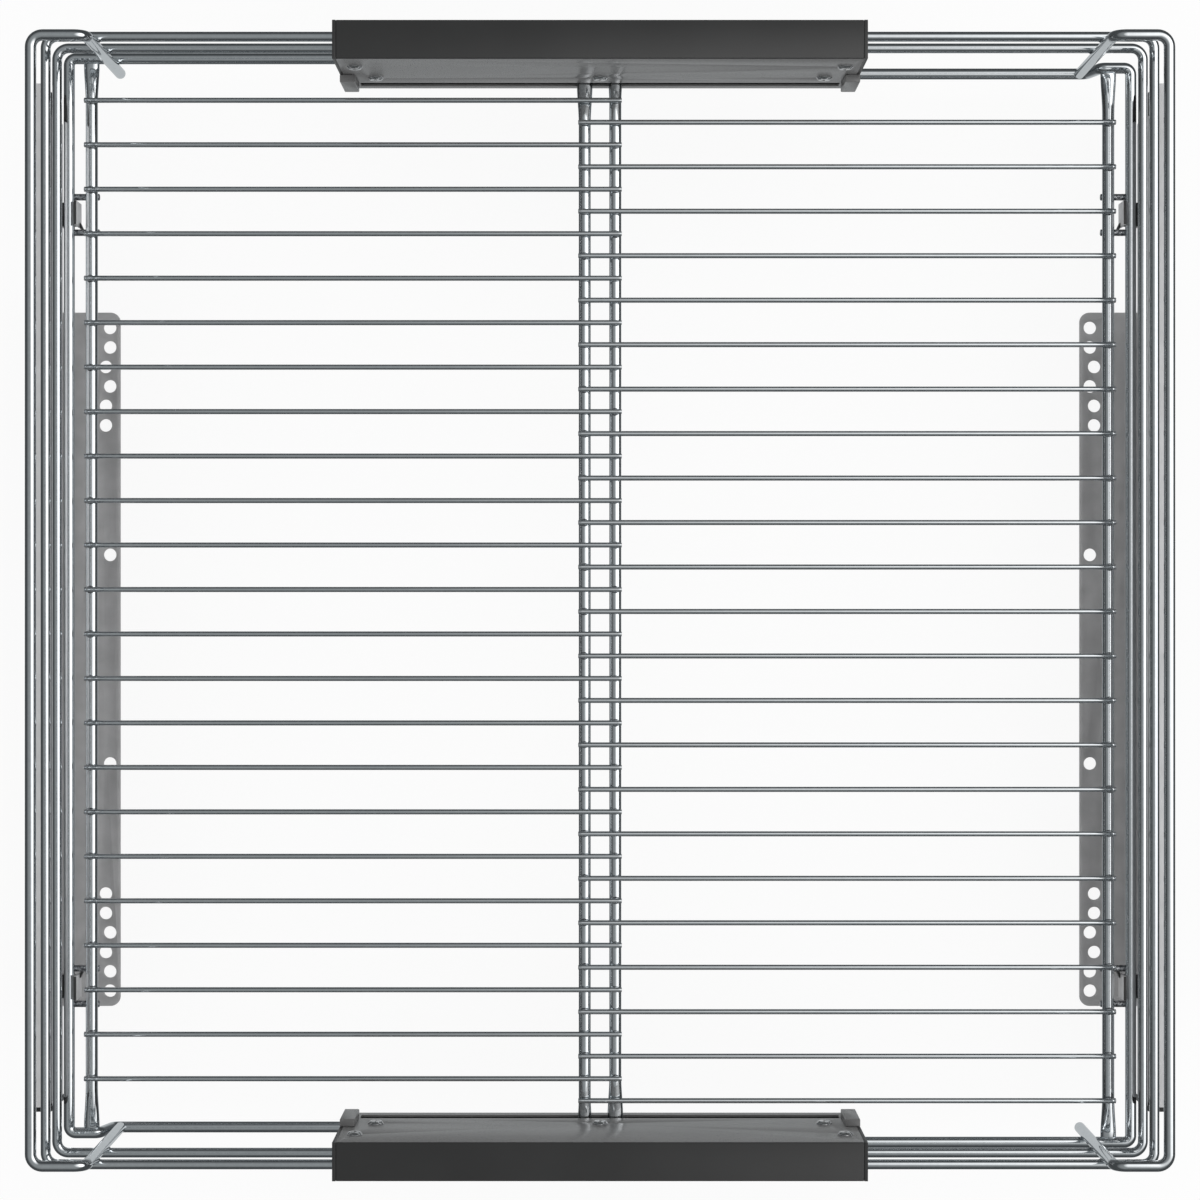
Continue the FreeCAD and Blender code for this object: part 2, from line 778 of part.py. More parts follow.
def bracket(side_name, side):
    label = f"{side_name}_bracket"
    steel = size("bracket_sheet")
    inner_x = half_width - size("flange_width")
    back_x = half_width - steel
    top = runner_z + size("bracket_rise")
    points = [
        (inner_x * side, 0),
        (half_width * side, 0),
        (half_width * side, top),
        (back_x * side, top),
        (back_x * side, steel),
        (inner_x * side, steel),
    ]
    body = profile_body(label, "XZ_Plane", points, size("bracket_length"))
    place(body, 0, -size("bracket_shift"), 0)
    sketch = sketch_on(body, "XY_Plane", label + "Holes")
    for y, staggered in HOLES:
        x = half_width - size("hole_inset")
        if staggered:
            x = x + size("hole_stagger")
        add_circle(sketch, x * side, size("bracket_shift") + y, size("hole_dia") / 2)
    holes = pocket_through(body, sketch)
    corner_x = float(inner_x) * side
    half_length = float(size("bracket_length")) / 2
    corners = fillet_edges(
        body,
        holes,
        size("flange_corner"),
        lambda edge, middle: abs(middle.x - corner_x) < 0.01
        and abs(abs(middle.y) - half_length) < 0.01
        and edge.Length < 2 * float(steel),
    )
    bend_x = float(half_width) * side
    fillet_edges(
        body,
        corners,
        steel * 1.3,
        lambda edge, middle: abs(middle.x - bend_x) < 0.01 and abs(middle.z) < 0.01,
    )
    doc.recompute()
    drill = sketch_on(body, "YZ_Plane", label + "RivetHoles")
    for y in rivet_places:
        add_circle(drill, y + size("bracket_shift"), runner_z, size("rivet_dia") / 2)
    pocket_through(body, drill)
    finish(body, label)

    rivets = []
    rivet_end = rail_back_x - size("rail_sheet")
    for i, y in enumerate(rivet_places):
        start = (half_width * side, y, runner_z)
        end = (rivet_end * side, y, runner_z)
        rivets.append(rod(f"{side_name}Rivet{i}", start, end, size("rivet_dia") / 2))
    finish(joined(f"{side_name}_bracket_rivets", rivets), f"{side_name}_bracket_rivets")


# ---------------------------------------------------------------- covers

def cover(side_name, turn):
    """turn is 1 for the rear cover and -1 for the front one, which is turned half a turn."""

    def called(name):
        return f"{side_name}_{name}"

    def wall_block(name, low, high):
        """A box given for the rear cover, turned for the front one."""
        if turn > 0:
            return block(name, low, high)
        return block(
            name,
            (-as_size(high[0]), -high[1], low[2]),
            (-as_size(low[0]), -low[1], high[2]),
        )

    def wall_rod(name, x, low_y, high_y, z, radius):
        return rod(name, (x * turn, low_y * turn, z), (x * turn, high_y * turn, z), radius)

    steel = size("cover_sheet")
    shell_half = cover_half - size("cap_sheet")
    inner_plate_back = cover_inner_y + size("plate_sheet")
    points = [
        (half_depth, cover_low_z),
        (half_depth, cover_top_z),
        (cover_inner_y, cover_top_z),
        (cover_inner_y, cover_top_z - steel),
        (half_depth - steel, cover_top_z - steel),
        (half_depth - steel, cover_low_z),
    ]
    turned = [(y * turn, z) for y, z in points]
    shell = profile_body(called("cover_shell"), "YZ_Plane", turned, shell_half * 2)
    finish(shell, called("cover_shell"))

    plate = new_body(called("PlateSheet"))
    outline = sketch_on(plate, "XZ_Plane", called("PlateOutline"))
    plate_top = cover_top_z - steel
    add_polygon(
        outline,
        [
            (-shell_half, cover_low_z),
            (shell_half, cover_low_z),
            (shell_half, plate_top),
            (-shell_half, plate_top),
        ],
    )
    slot_half = cover_half - size("lug_width") - size("slot_end")
    add_polygon(
        outline,
        [
            (-slot_half, slot_low_z),
            (slot_half, slot_low_z),
            (slot_half, slot_high_z),
            (-slot_half, slot_high_z),
        ],
    )
    screw_high_x = cover_half - size("screw_inset")
    screw_low_x = screw_high_x - size("screw_step")
    screw_high_z = (upper_z + middle_z) / 2 + size("screw_rise")
    screw_low_z = middle_z - wall_r - size("screw_head") / 2 - size("screw_fall")
    screws = [
        (-screw_high_x, screw_high_z),
        (screw_high_x, screw_high_z),
        (-screw_low_x, screw_low_z),
        (screw_low_x, screw_low_z),
        (as_size(0), screw_low_z),
    ]
    screw_r = size("screw_dia") / 2
    for x, z in screws:
        add_circle(outline, x, z, screw_r)
    pad(plate, outline, size("plate_sheet"))
    place(plate, 0, (cover_inner_y + size("plate_sheet") / 2) * turn, 0)
    foot_end_y = bar_end_y - size("flare_height") / 2 - size("foot_gap")
    foot = wall_block(
        called("PlateFoot"),
        (-shell_half, inner_plate_back, cover_low_z),
        (shell_half, foot_end_y, cover_low_z + size("plate_sheet")),
    )
    finish(joined(called("inner_plate"), [plate, foot]), called("inner_plate"))

    caps = []
    lugs = []
    guides = []
    for name, sign in (("Left", -1), ("Right", 1)):
        outer_x = cover_half * sign
        cap_x = shell_half * sign
        low_x, high_x = (outer_x, cap_x) if sign < 0 else (cap_x, outer_x)
        cap = wall_block(
            called(name + "CapBlank"),
            (low_x, cover_inner_y, cover_low_z),
            (high_x, half_depth, cover_top_z),
        )
        holes = []
        wires = ((arm_y, upper_z, wall_r), (arm_y, middle_z, wall_r), (base_y, base_z, base_r))
        for number, (y, z, wire_r) in enumerate(wires):
            start = (low_x * turn, y * turn, z)
            end = (high_x * turn, y * turn, z)
            room = wire_r + size("cap_room")
            holes.append(rod(called(f"{name}CapHole{number}"), start, end, room))
        caps.append(cut(called(name + "Cap"), cap, joined(called(name + "CapHoles"), holes)))

        lug_x = (cover_half - size("lug_width")) * sign
        low_x, high_x = (outer_x, lug_x) if sign < 0 else (lug_x, outer_x)
        lug_low_z = base_z + size("lug_lift")
        lugs.append(
            wall_block(
                called(name + "Lug"),
                (low_x, cover_inner_y - size("lug_depth"), lug_low_z),
                (high_x, cover_inner_y, lug_low_z + size("lug_height")),
            )
        )

        guide_x = (shell_half - size("guide_length")) * sign
        low_x, high_x = (cap_x, guide_x) if sign < 0 else (guide_x, cap_x)
        guide = wall_block(
            called(name + "GuideBlank"),
            (low_x, inner_plate_back, screw_low_z - size("guide_foot")),
            (high_x, half_depth - steel, upper_z + wall_r + size("guide_top")),
        )
        bores = []
        for number, z in enumerate((upper_z, middle_z)):
            start = (low_x * turn, arm_y * turn, z)
            end = (high_x * turn, arm_y * turn, z)
            bore_r = wall_r + size("guide_room")
            bores.append(rod(called(f"{name}GuideBore{number}"), start, end, bore_r))
        for number, (x, z) in enumerate(((screw_high_x, screw_high_z), (screw_low_x, screw_low_z))):
            bore = wall_rod(
                called(f"{name}GuideScrew{number}"),
                x * sign,
                inner_plate_back,
                cover_inner_y + size("screw_length"),
                z,
                screw_r,
            )
            bores.append(bore)
        guides.append(cut(called(name + "Guide"), guide, joined(called(name + "GuideBores"), bores)))
    finish(joined(called("end_caps"), caps), called("end_caps"))
    finish(joined(called("end_lugs"), lugs), called("end_lugs"))
    finish(joined(called("wire_guides"), guides), called("wire_guides"))

    spacer_blank = wall_rod(
        called("SpacerBlank"),
        as_size(0),
        inner_plate_back,
        half_depth - steel,
        screw_low_z,
        size("spacer_dia") / 2,
    )
    spacer_bore = wall_rod(
        called("SpacerBore"),
        as_size(0),
        inner_plate_back,
        cover_inner_y + size("screw_length"),
        screw_low_z,
        screw_r,
    )
    finish(cut(called("centre_spacer"), spacer_blank, spacer_bore), called("centre_spacer"))

    made = []
    head_r = size("screw_head") / 2
    toward_basket = FreeCAD.Rotation(FreeCAD.Vector(0, 0, 1), FreeCAD.Vector(0, -turn, 0))
    for number, (x, z) in enumerate(screws):
        shank_end = cover_inner_y + size("screw_length")
        shank = wall_rod(called(f"Shank{number}"), x, cover_inner_y, shank_end, z, screw_r)
        head = doc.addObject("Part::Cone", called(f"Head{number}"))
        drive(head, Radius1=head_r, Radius2=head_r * 0.7, Height=size("head_rise"))
        place(head, x * turn, cover_inner_y * turn, z, toward_basket)
        screw = joined(called(f"ScrewBlank{number}"), [shank, head])
        arm = size("screw_head") * 0.27
        notch = size("head_rise") * 0.35
        face_y = cover_inner_y - size("head_rise")
        slots = []
        for slot_name, across, up in (("Flat", arm, notch), ("Tall", notch, arm)):
            slot = wall_block(
                called(f"{slot_name}Slot{number}"),
                (x - across, face_y, z - up),
                (x + across, face_y + size("head_rise") * 0.8, z + up),
            )
            slots.append(slot)
        recess = joined(called(f"Recess{number}"), slots)
        made.append(cut(called(f"Screw{number}"), screw, recess))
    finish(joined(called("cover_screws"), made), called("cover_screws"))


# ---------------------------------------------------------------- build, check and write

half_basket("left", 1)
half_basket("right", -1)
runner("left", -1)
runner("right", 1)
cover("rear", 1)
cover("front", -1)
doc.recompute()

for thing in doc.Objects:
    if "Invalid" in thing.State or "Error" in thing.State:
        raise RuntimeError(f"{thing.Name} failed: {thing.State}")
for piece in finished:
    if piece.Shape.isNull() or not piece.Shape.isValid():
        raise RuntimeError(f"{piece.Label} has no valid shape")

os.makedirs("parts", exist_ok=True)
for piece in finished:
    piece.Shape.exportStep(f"parts/{piece.Label}.step")
    box = piece.Shape.BoundBox
    corners = (box.XMin, box.YMin, box.ZMin, box.XMax, box.YMax, box.ZMax)
    print(piece.Label, len(piece.Shape.Solids), [round(v, 1) for v in corners])
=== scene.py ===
import json
import math
import random

import bmesh
import bpy
from mathutils import Matrix, Vector

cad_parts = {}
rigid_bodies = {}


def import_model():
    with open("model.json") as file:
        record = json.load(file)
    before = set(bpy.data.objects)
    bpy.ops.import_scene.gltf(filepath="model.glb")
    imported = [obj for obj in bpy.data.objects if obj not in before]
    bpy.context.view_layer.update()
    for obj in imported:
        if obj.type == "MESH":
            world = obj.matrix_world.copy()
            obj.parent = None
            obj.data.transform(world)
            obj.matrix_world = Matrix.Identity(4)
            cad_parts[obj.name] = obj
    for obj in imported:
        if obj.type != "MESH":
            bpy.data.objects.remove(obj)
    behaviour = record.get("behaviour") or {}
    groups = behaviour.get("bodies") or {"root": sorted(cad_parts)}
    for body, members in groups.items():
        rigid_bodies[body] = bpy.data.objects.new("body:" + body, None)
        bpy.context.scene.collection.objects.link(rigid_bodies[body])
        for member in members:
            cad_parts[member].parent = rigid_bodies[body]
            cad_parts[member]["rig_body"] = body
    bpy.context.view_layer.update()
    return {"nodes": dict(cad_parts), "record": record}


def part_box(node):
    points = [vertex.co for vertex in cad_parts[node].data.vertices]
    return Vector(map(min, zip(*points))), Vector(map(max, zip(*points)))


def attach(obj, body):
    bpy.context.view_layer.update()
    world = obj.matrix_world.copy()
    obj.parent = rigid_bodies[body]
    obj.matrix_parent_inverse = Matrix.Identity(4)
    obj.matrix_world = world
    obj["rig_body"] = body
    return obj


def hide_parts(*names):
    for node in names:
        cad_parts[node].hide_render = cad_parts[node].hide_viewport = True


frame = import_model()
nodes = frame["nodes"]
MM = 0.001


# ---------------------------------------------------------------- view

LENS = 83.5
SENSOR_WIDTH = 36
CAMERA_SPOT = (0, 0.00025, 1.4285)


def stand_camera():
    """A camera high over the middle of the basket, looking straight down, with the rear up."""
    data = bpy.data.cameras.new("camera")
    data.lens = LENS
    data.sensor_width = SENSOR_WIDTH
    data.clip_start = 0.05
    data.clip_end = 20
    camera = bpy.data.objects.new("camera", data)
    camera.location = CAMERA_SPOT
    bpy.context.scene.collection.objects.link(camera)
    bpy.context.scene.camera = camera


stand_camera()


# ---------------------------------------------------------------- materials

def new_material(name):
    """A material, its node tree and its shader."""
    material = bpy.data.materials.new(name)
    material.use_nodes = True
    tree = material.node_tree
    return material, tree, tree.nodes["Principled BSDF"]


def add_node(tree, kind, **inputs):
    """A node with some of its sockets set. A space in a socket's name is written as _ here."""
    node = tree.nodes.new(kind)
    for key, value in inputs.items():
        node.inputs[key.replace("_", " ")].default_value = value
    return node


def object_noise(tree, scale, stretch=(1, 1, 1), detail=3.0):
    """Noise in the piece's own space, with scale grains to the metre. A small stretch factor
    draws it out along that axis."""
    where = tree.nodes.new("ShaderNodeTexCoord")
    mapping = add_node(tree, "ShaderNodeMapping", Scale=stretch)
    noise = add_node(tree, "ShaderNodeTexNoise", Scale=scale, Detail=detail)
    tree.links.new(where.outputs["Object"], mapping.inputs["Vector"])
    tree.links.new(mapping.outputs["Vector"], noise.inputs["Vector"])
    return noise.outputs["Fac"]


def ramp(tree, source, stops):
    """Turns a value into greys or colours, given as pairs of place and tone."""
    node = tree.nodes.new("ShaderNodeValToRGB")
    elements = node.color_ramp.elements
    while len(elements) < len(stops):
        elements.new(0.5)
    for element, (place, value) in zip(elements, stops):
        element.position = place
        colour = value if isinstance(value, tuple) else (value, value, value)
        element.color = (*colour, 1)
    tree.links.new(source, node.inputs["Fac"])
    return node.outputs["Color"]


def bump(tree, source, shader, strength, distance):
    """Lets a value raise the surface by a distance in metres."""
    node = add_node(tree, "ShaderNodeBump", Strength=strength, Distance=distance)
    tree.links.new(source, node.inputs["Height"])
    tree.links.new(node.outputs["Normal"], shader.inputs["Normal"])


def chrome_wire():
    """Polished chrome, faintly cloudy."""
    material, tree, shader = new_material("chromed_wire")
    shader.inputs["Metallic"].default_value = 1
    fine = object_noise(tree, scale=500)
    tree.links.new(ramp(tree, fine, [(0.3, (0.80, 0.83, 0.85)), (0.7, (0.86, 0.89, 0.91))]),
                   shader.inputs["Base Color"])
    cloud = object_noise(tree, scale=60)
    tree.links.new(ramp(tree, cloud, [(0.3, 0.04), (0.75, 0.10)]), shader.inputs["Roughness"])
    bump(tree, fine, shader, strength=0.03, distance=0.0001)
    return material


def weld_chrome():
    """Chrome over rough welds and the wires scorched beside them."""
    material, tree, shader = new_material("weld_chrome")
    shader.inputs["Metallic"].default_value = 1
    crust = object_noise(tree, scale=700, detail=4)
    scorch = ramp(tree, crust, [(0.38, (0.16, 0.165, 0.18)), (0.66, (0.72, 0.74, 0.76))])
    tree.links.new(scorch, shader.inputs["Base Color"])
    tree.links.new(ramp(tree, crust, [(0.3, 0.45), (0.7, 0.15)]), shader.inputs["Roughness"])
    bump(tree, crust, shader, strength=0.6, distance=0.0006)
    return material


BLUISH = 1.01


def zinc(name, dark, light, metallic=0.15):
    """Dull zinc plating, cloudy and a little bluish, with faint drawing lines along the rail."""
    material, tree, shader = new_material(name)
    shader.inputs["Metallic"].default_value = metallic
    drawn = object_noise(tree, scale=700, stretch=(1, 0.03, 1), detail=4)
    cloud = object_noise(tree, scale=90)
    tones = [(0.3, (dark, dark, dark * BLUISH)), (0.7, (light, light, light * BLUISH))]
    tree.links.new(ramp(tree, cloud, tones), shader.inputs["Base Color"])
    tree.links.new(ramp(tree, drawn, [(0.3, 0.30), (0.7, 0.42)]), shader.inputs["Roughness"])
    bump(tree, drawn, shader, strength=0.12, distance=0.0002)
    return material


def bright_metal(name):
    """Plain bright steel."""
    material, tree, shader = new_material(name)
    shader.inputs["Metallic"].default_value = 1
    fine = object_noise(tree, scale=1500)
    tree.links.new(ramp(tree, fine, [(0.3, (0.78, 0.78, 0.78)), (0.7, (0.9, 0.9, 0.9))]),
                   shader.inputs["Base Color"])
    tree.links.new(ramp(tree, fine, [(0.3, 0.15), (0.7, 0.25)]), shader.inputs["Roughness"])
    return material


def paint(name, dark, light, rough):
    """Powder paint with a fine grain."""
    material, tree, shader = new_material(name)
    grain = object_noise(tree, scale=2200, detail=2)
    cloud = object_noise(tree, scale=25)
    tree.links.new(ramp(tree, cloud, [(0.35, dark), (0.65, light)]), shader.inputs["Base Color"])
    tree.links.new(ramp(tree, grain, [(0.3, rough - 0.04), (0.7, rough + 0.05)]),
                   shader.inputs["Roughness"])
    bump(tree, grain, shader, strength=0.1, distance=0.0001)
    return material


def plastic(name, dark, light):
    """Moulded plastic with a fine matt grain."""
    material, tree, shader = new_material(name)
    grain = object_noise(tree, scale=1600, detail=2)
    tree.links.new(ramp(tree, grain, [(0.3, dark), (0.7, light)]), shader.inputs["Base Color"])
    shader.inputs["Roughness"].default_value = 0.45
    bump(tree, grain, shader, strength=0.15, distance=0.0001)
    return material


finishes = {
    "chromed_wire": chrome_wire(),
    "zinc_steel": zinc("zinc_steel", dark=0.54, light=0.61),
    "bright_steel": bright_metal("bright_steel"),
    "bright_screws": bright_metal("bright_screws"),
    "dark_paint": paint("dark_paint", dark=0.023, light=0.026, rough=0.35),
    # The grey paint is the covers' dark paint lightened to a mid grey: painted reflection,
    # standing in for the sheen that dark paint takes from the pale floor when seen edge-on.
    "grey_paint": paint("grey_paint", dark=0.130, light=0.142, rough=0.30),
    "black_plastic": plastic("black_plastic", dark=0.012, light=0.02),
    "guide_plastic": plastic("guide_plastic", dark=0.03, light=0.045),
}
welds = weld_chrome()
# The drawer rails get a darker, more metallic zinc: painted shade, standing in for the shadow in
# the narrow gap beside the base wire.
rail_zinc_painted_shade = zinc("rail_zinc_painted_shade", dark=0.50, light=0.58, metallic=0.85)
bracket_zinc = zinc("bracket_zinc", dark=0.38, light=0.46)
cut_steel = zinc("cut_steel", dark=0.03, light=0.05)
slot_of = {part["node"]: part["material_slot"] for part in frame["record"]["subparts"]}
body_of = {name: piece["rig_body"] for name, piece in nodes.items()}


def dress_frame():
    """Gives every CAD node the finish of its slot."""
    for name, slot in slot_of.items():
        nodes[name].data.materials.clear()
        nodes[name].data.materials.append(finishes[slot])


dress_frame()


# ---------------------------------------------------------------- making pieces

FRAME_R = 2.65 * MM
WALL_R = 2.375 * MM
BASE_R = 2.75 * MM
BAR_R = 3.0 * MM
THIN_R = 1.3 * MM
CLIP_R = 1.65 * MM
BEND = 5.6 * MM               # centre line radius of the frame's and wall wires' bends
BASE_BEND = BEND * 0.6
BAR_BEND = BEND * 0.8
BAR_END_RUN = (BEND - BAR_BEND) + 1.0 * MM    # flat run before the inner bar turns down
FLARE = 20 * MM               # length over which a floor bar's end grows flat
FLAT_WIDTH = 1.3              # a flat end's width and height, as shares of the round bar's
FLAT_HEIGHT = 0.767
TAPER_STEPS = 6
HEAVY_TIP = 0.5               # a rounded tip, as a share of the wire's radius
LIGHT_TIP = 0.3
BAR_TIP = 0.4 * MM
HEAVY_SIDES = 24
CLIP_SIDES = 20
THIN_SIDES = 16
BEND_STEP = 9                 # degrees from one ring of a bend to the next
HOLD = 2 * MM                 # a ring this far from an end keeps its rounded tip's shading there
FLOOR_WIRES = 23
CLIP_PITCH = 17.7 * MM
JOG_PLACE = 8.7 * MM          # leg to the start of the base wire's drop
JOG_RUN = 4.8 * MM

ARM_BEAD = (2.4 * MM, 1.0 * MM, 2.0 * MM)           # an arm on a leg
BAR_END_BEAD = (4.2 * MM, 1.0 * MM, 1.6 * MM)       # a side bar's end on the base wire
CROSSING_BEAD = (2.3 * MM, 1.8 * MM, 0.75 * MM)     # a floor wire on a floor bar
CLIP_BEAD = (1.9 * MM, 2.3 * MM, 0.9 * MM)          # a clip bar under the wires it holds
BEAD_SPREAD = (0.85, 1.12)    # the least and most that a bead's size is changed by
BEAD_DRIFT = 0.3              # mm that a crossing's bead may stand to either side
BEAD_LIFT = 0.1 * MM
WELD = 1                      # material slot of the welds
steady = random.Random(11)


def make_piece(form, name, *stands_for):
    """Makes a form into a piece that replaces CAD nodes, on their body and in their finish."""
    bmesh.ops.recalc_face_normals(form, faces=form.faces)
    for face in form.faces:
        face.smooth = True
    mesh = bpy.data.meshes.new(name)
    form.to_mesh(mesh)
    form.free()
    piece = bpy.data.objects.new(name, mesh)
    bpy.context.scene.collection.objects.link(piece)
    slot = slot_of[stands_for[0]]
    mesh.materials.append(finishes[slot])
    mesh.materials.append(welds)
    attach(piece, body_of[stands_for[0]])
    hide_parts(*stands_for)
    return piece


def add_ring(form, spot, heading, radius, sides):
    """An open ring of wire's outline, square to the way the wire runs."""
    place = Matrix.Translation(spot) @ heading.to_track_quat("Z", "Y").to_matrix().to_4x4()
    ring = bmesh.ops.create_circle(form, cap_ends=False, radius=radius, segments=sides,
                                   matrix=place)
    return list(dict.fromkeys(edge for corner in ring["verts"] for edge in corner.link_edges))


def draw_on(form, edges, step):
    """Carries the wire's open end straight on by a step."""
    made = bmesh.ops.extrude_edge_only(form, edges=edges)["geom"]
    corners = [item for item in made if isinstance(item, bmesh.types.BMVert)]
    bmesh.ops.translate(form, verts=corners, vec=step)
    fresh = set(corners)
    return [item for item in made
            if isinstance(item, bmesh.types.BMEdge) and fresh.issuperset(item.verts)]


def bend_on(form, edges, centre, axis, angle):
    """Carries the wire's open end round a bend."""
    corners = list(dict.fromkeys(corner for edge in edges for corner in edge.verts))
    steps = max(2, round(math.degrees(angle) / BEND_STEP))
    made = bmesh.ops.spin(form, geom=corners + edges, cent=centre, axis=axis, angle=angle,
                          steps=steps, use_merge=False, use_duplicate=False)["geom_last"]
    return [item for item in made if isinstance(item, bmesh.types.BMEdge)]


def round_ends(form, rims, tip):
    """Closes the wire's two ends and rounds their edges."""
    for rim in rims:
        bmesh.ops.contextual_create(form, geom=rim)
    bmesh.ops.bevel(form, geom=[edge for rim in rims for edge in rim], offset=tip,
                    offset_type="OFFSET", segments=4, profile=0.5, affect="EDGES", material=-1,
                    clamp_overlap=True)


def bend_wire(form, corners, radius, bend, tip, sides=HEAVY_SIDES):
    """Round wire through the corners, bent at each of them, with rounded ends."""
    points = [Vector(corner) for corner in corners]
    headings = [(end - start).normalized() for start, end in zip(points, points[1:])]
    edges = add_ring(form, points[0], headings[0], radius, sides)
    rims = [edges]
    edges = draw_on(form, edges, headings[0] * HOLD)
    at = points[0] + headings[0] * HOLD
    for corner, before, after in zip(points[1:], headings, headings[1:] + [None]):
        if after is None:
            edges = draw_on(form, edges, corner - before * HOLD - at)
            edges = draw_on(form, edges, before * HOLD)
            continue
        angle = before.angle(after)
        back = bend * math.tan(angle / 2)
        bend_start = corner - before * back
        inward = (after - before * before.dot(after)).normalized()
        edges = draw_on(form, edges, bend_start - at)
        axis = before.cross(after).normalized()
        edges = bend_on(form, edges, bend_start + inward * bend, axis, angle)
        at = corner + after * back
    rims.append(edges)
    round_ends(form, rims, tip)


def turned(corners, turn):
    """Corners as they stand on the left half, or turned half a turn for the right half."""
    return [(x * turn, y * turn, z) for x, y, z in corners]


def squeeze(form, edges, centre, width, height):
    """Widens and flattens the wire's open end, where it runs along Y."""
    corners = list(dict.fromkeys(corner for edge in edges for corner in edge.verts))
    bmesh.ops.scale(form, verts=corners, vec=(width, 1, height), space=Matrix.Translation(-centre))


def draw_taper(form, edges, at, step, flatter):
    """Carries a bar's end on from round to flat, or from flat to round."""
    width, height = (1, 1) if flatter else (FLAT_WIDTH, FLAT_HEIGHT)
    for i in range(1, TAPER_STEPS + 1):
        share = i / TAPER_STEPS
        share = share * share * (3 - 2 * share)    # starts and ends gently
        if not flatter:
            share = 1 - share
        next_width = 1 + (FLAT_WIDTH - 1) * share
        next_height = 1 + (FLAT_HEIGHT - 1) * share
        edges = draw_on(form, edges, step / TAPER_STEPS)
        at = at + step / TAPER_STEPS
        squeeze(form, edges, at, next_width / width, next_height / height)
        width, height = next_width, next_height
    return edges, at


def draw_floor_bar(form, x, rear_y, front_y, z, turn, foot_z=None):
    """A floor bar with flattened ends. One with a foot is turned down at its front end."""
    ahead = Vector((0, -turn, 0))
    at = Vector((x * turn, rear_y * turn, z))
    rear_rim = add_ring(form, at, ahead, BAR_R, HEAVY_SIDES)
    squeeze(form, rear_rim, at, FLAT_WIDTH, FLAT_HEIGHT)
    edges, at = draw_taper(form, rear_rim, at, ahead * FLARE, False)
    bend = BAR_BEND if foot_z is not None else 0
    flat_y = front_y + bend + (BAR_END_RUN if bend else 0)
    middle_run = abs(flat_y * turn - at.y) - FLARE
    edges = draw_on(form, edges, ahead * middle_run)
    at = at + ahead * middle_run
    edges, at = draw_taper(form, edges, at, ahead * FLARE, True)
    if bend:
        edges = draw_on(form, edges, ahead * BAR_END_RUN)
        at = at + ahead * BAR_END_RUN
        down = Vector((0, 0, -1))
        edges = bend_on(form, edges, at + down * bend, ahead.cross(down), math.radians(90))
        edges = draw_on(form, edges, down * (z - bend - foot_z))
    round_ends(form, [rear_rim, edges], BAR_TIP)


def add_bead(form, spot, size):
    """A small uneven bead of weld."""
    bead = bmesh.ops.create_uvsphere(form, u_segments=10, v_segments=6, radius=1)["verts"]
    uneven = [length * steady.uniform(*BEAD_SPREAD) for length in size]
    bmesh.ops.scale(form, verts=bead, vec=uneven)
    bmesh.ops.translate(form, verts=bead, vec=spot)
    for corner in bead:
        for face in corner.link_faces:
            face.material_index = WELD


# ---------------------------------------------------------------- the two half baskets

def middle_of(low, high):
    return (low + high) / 2


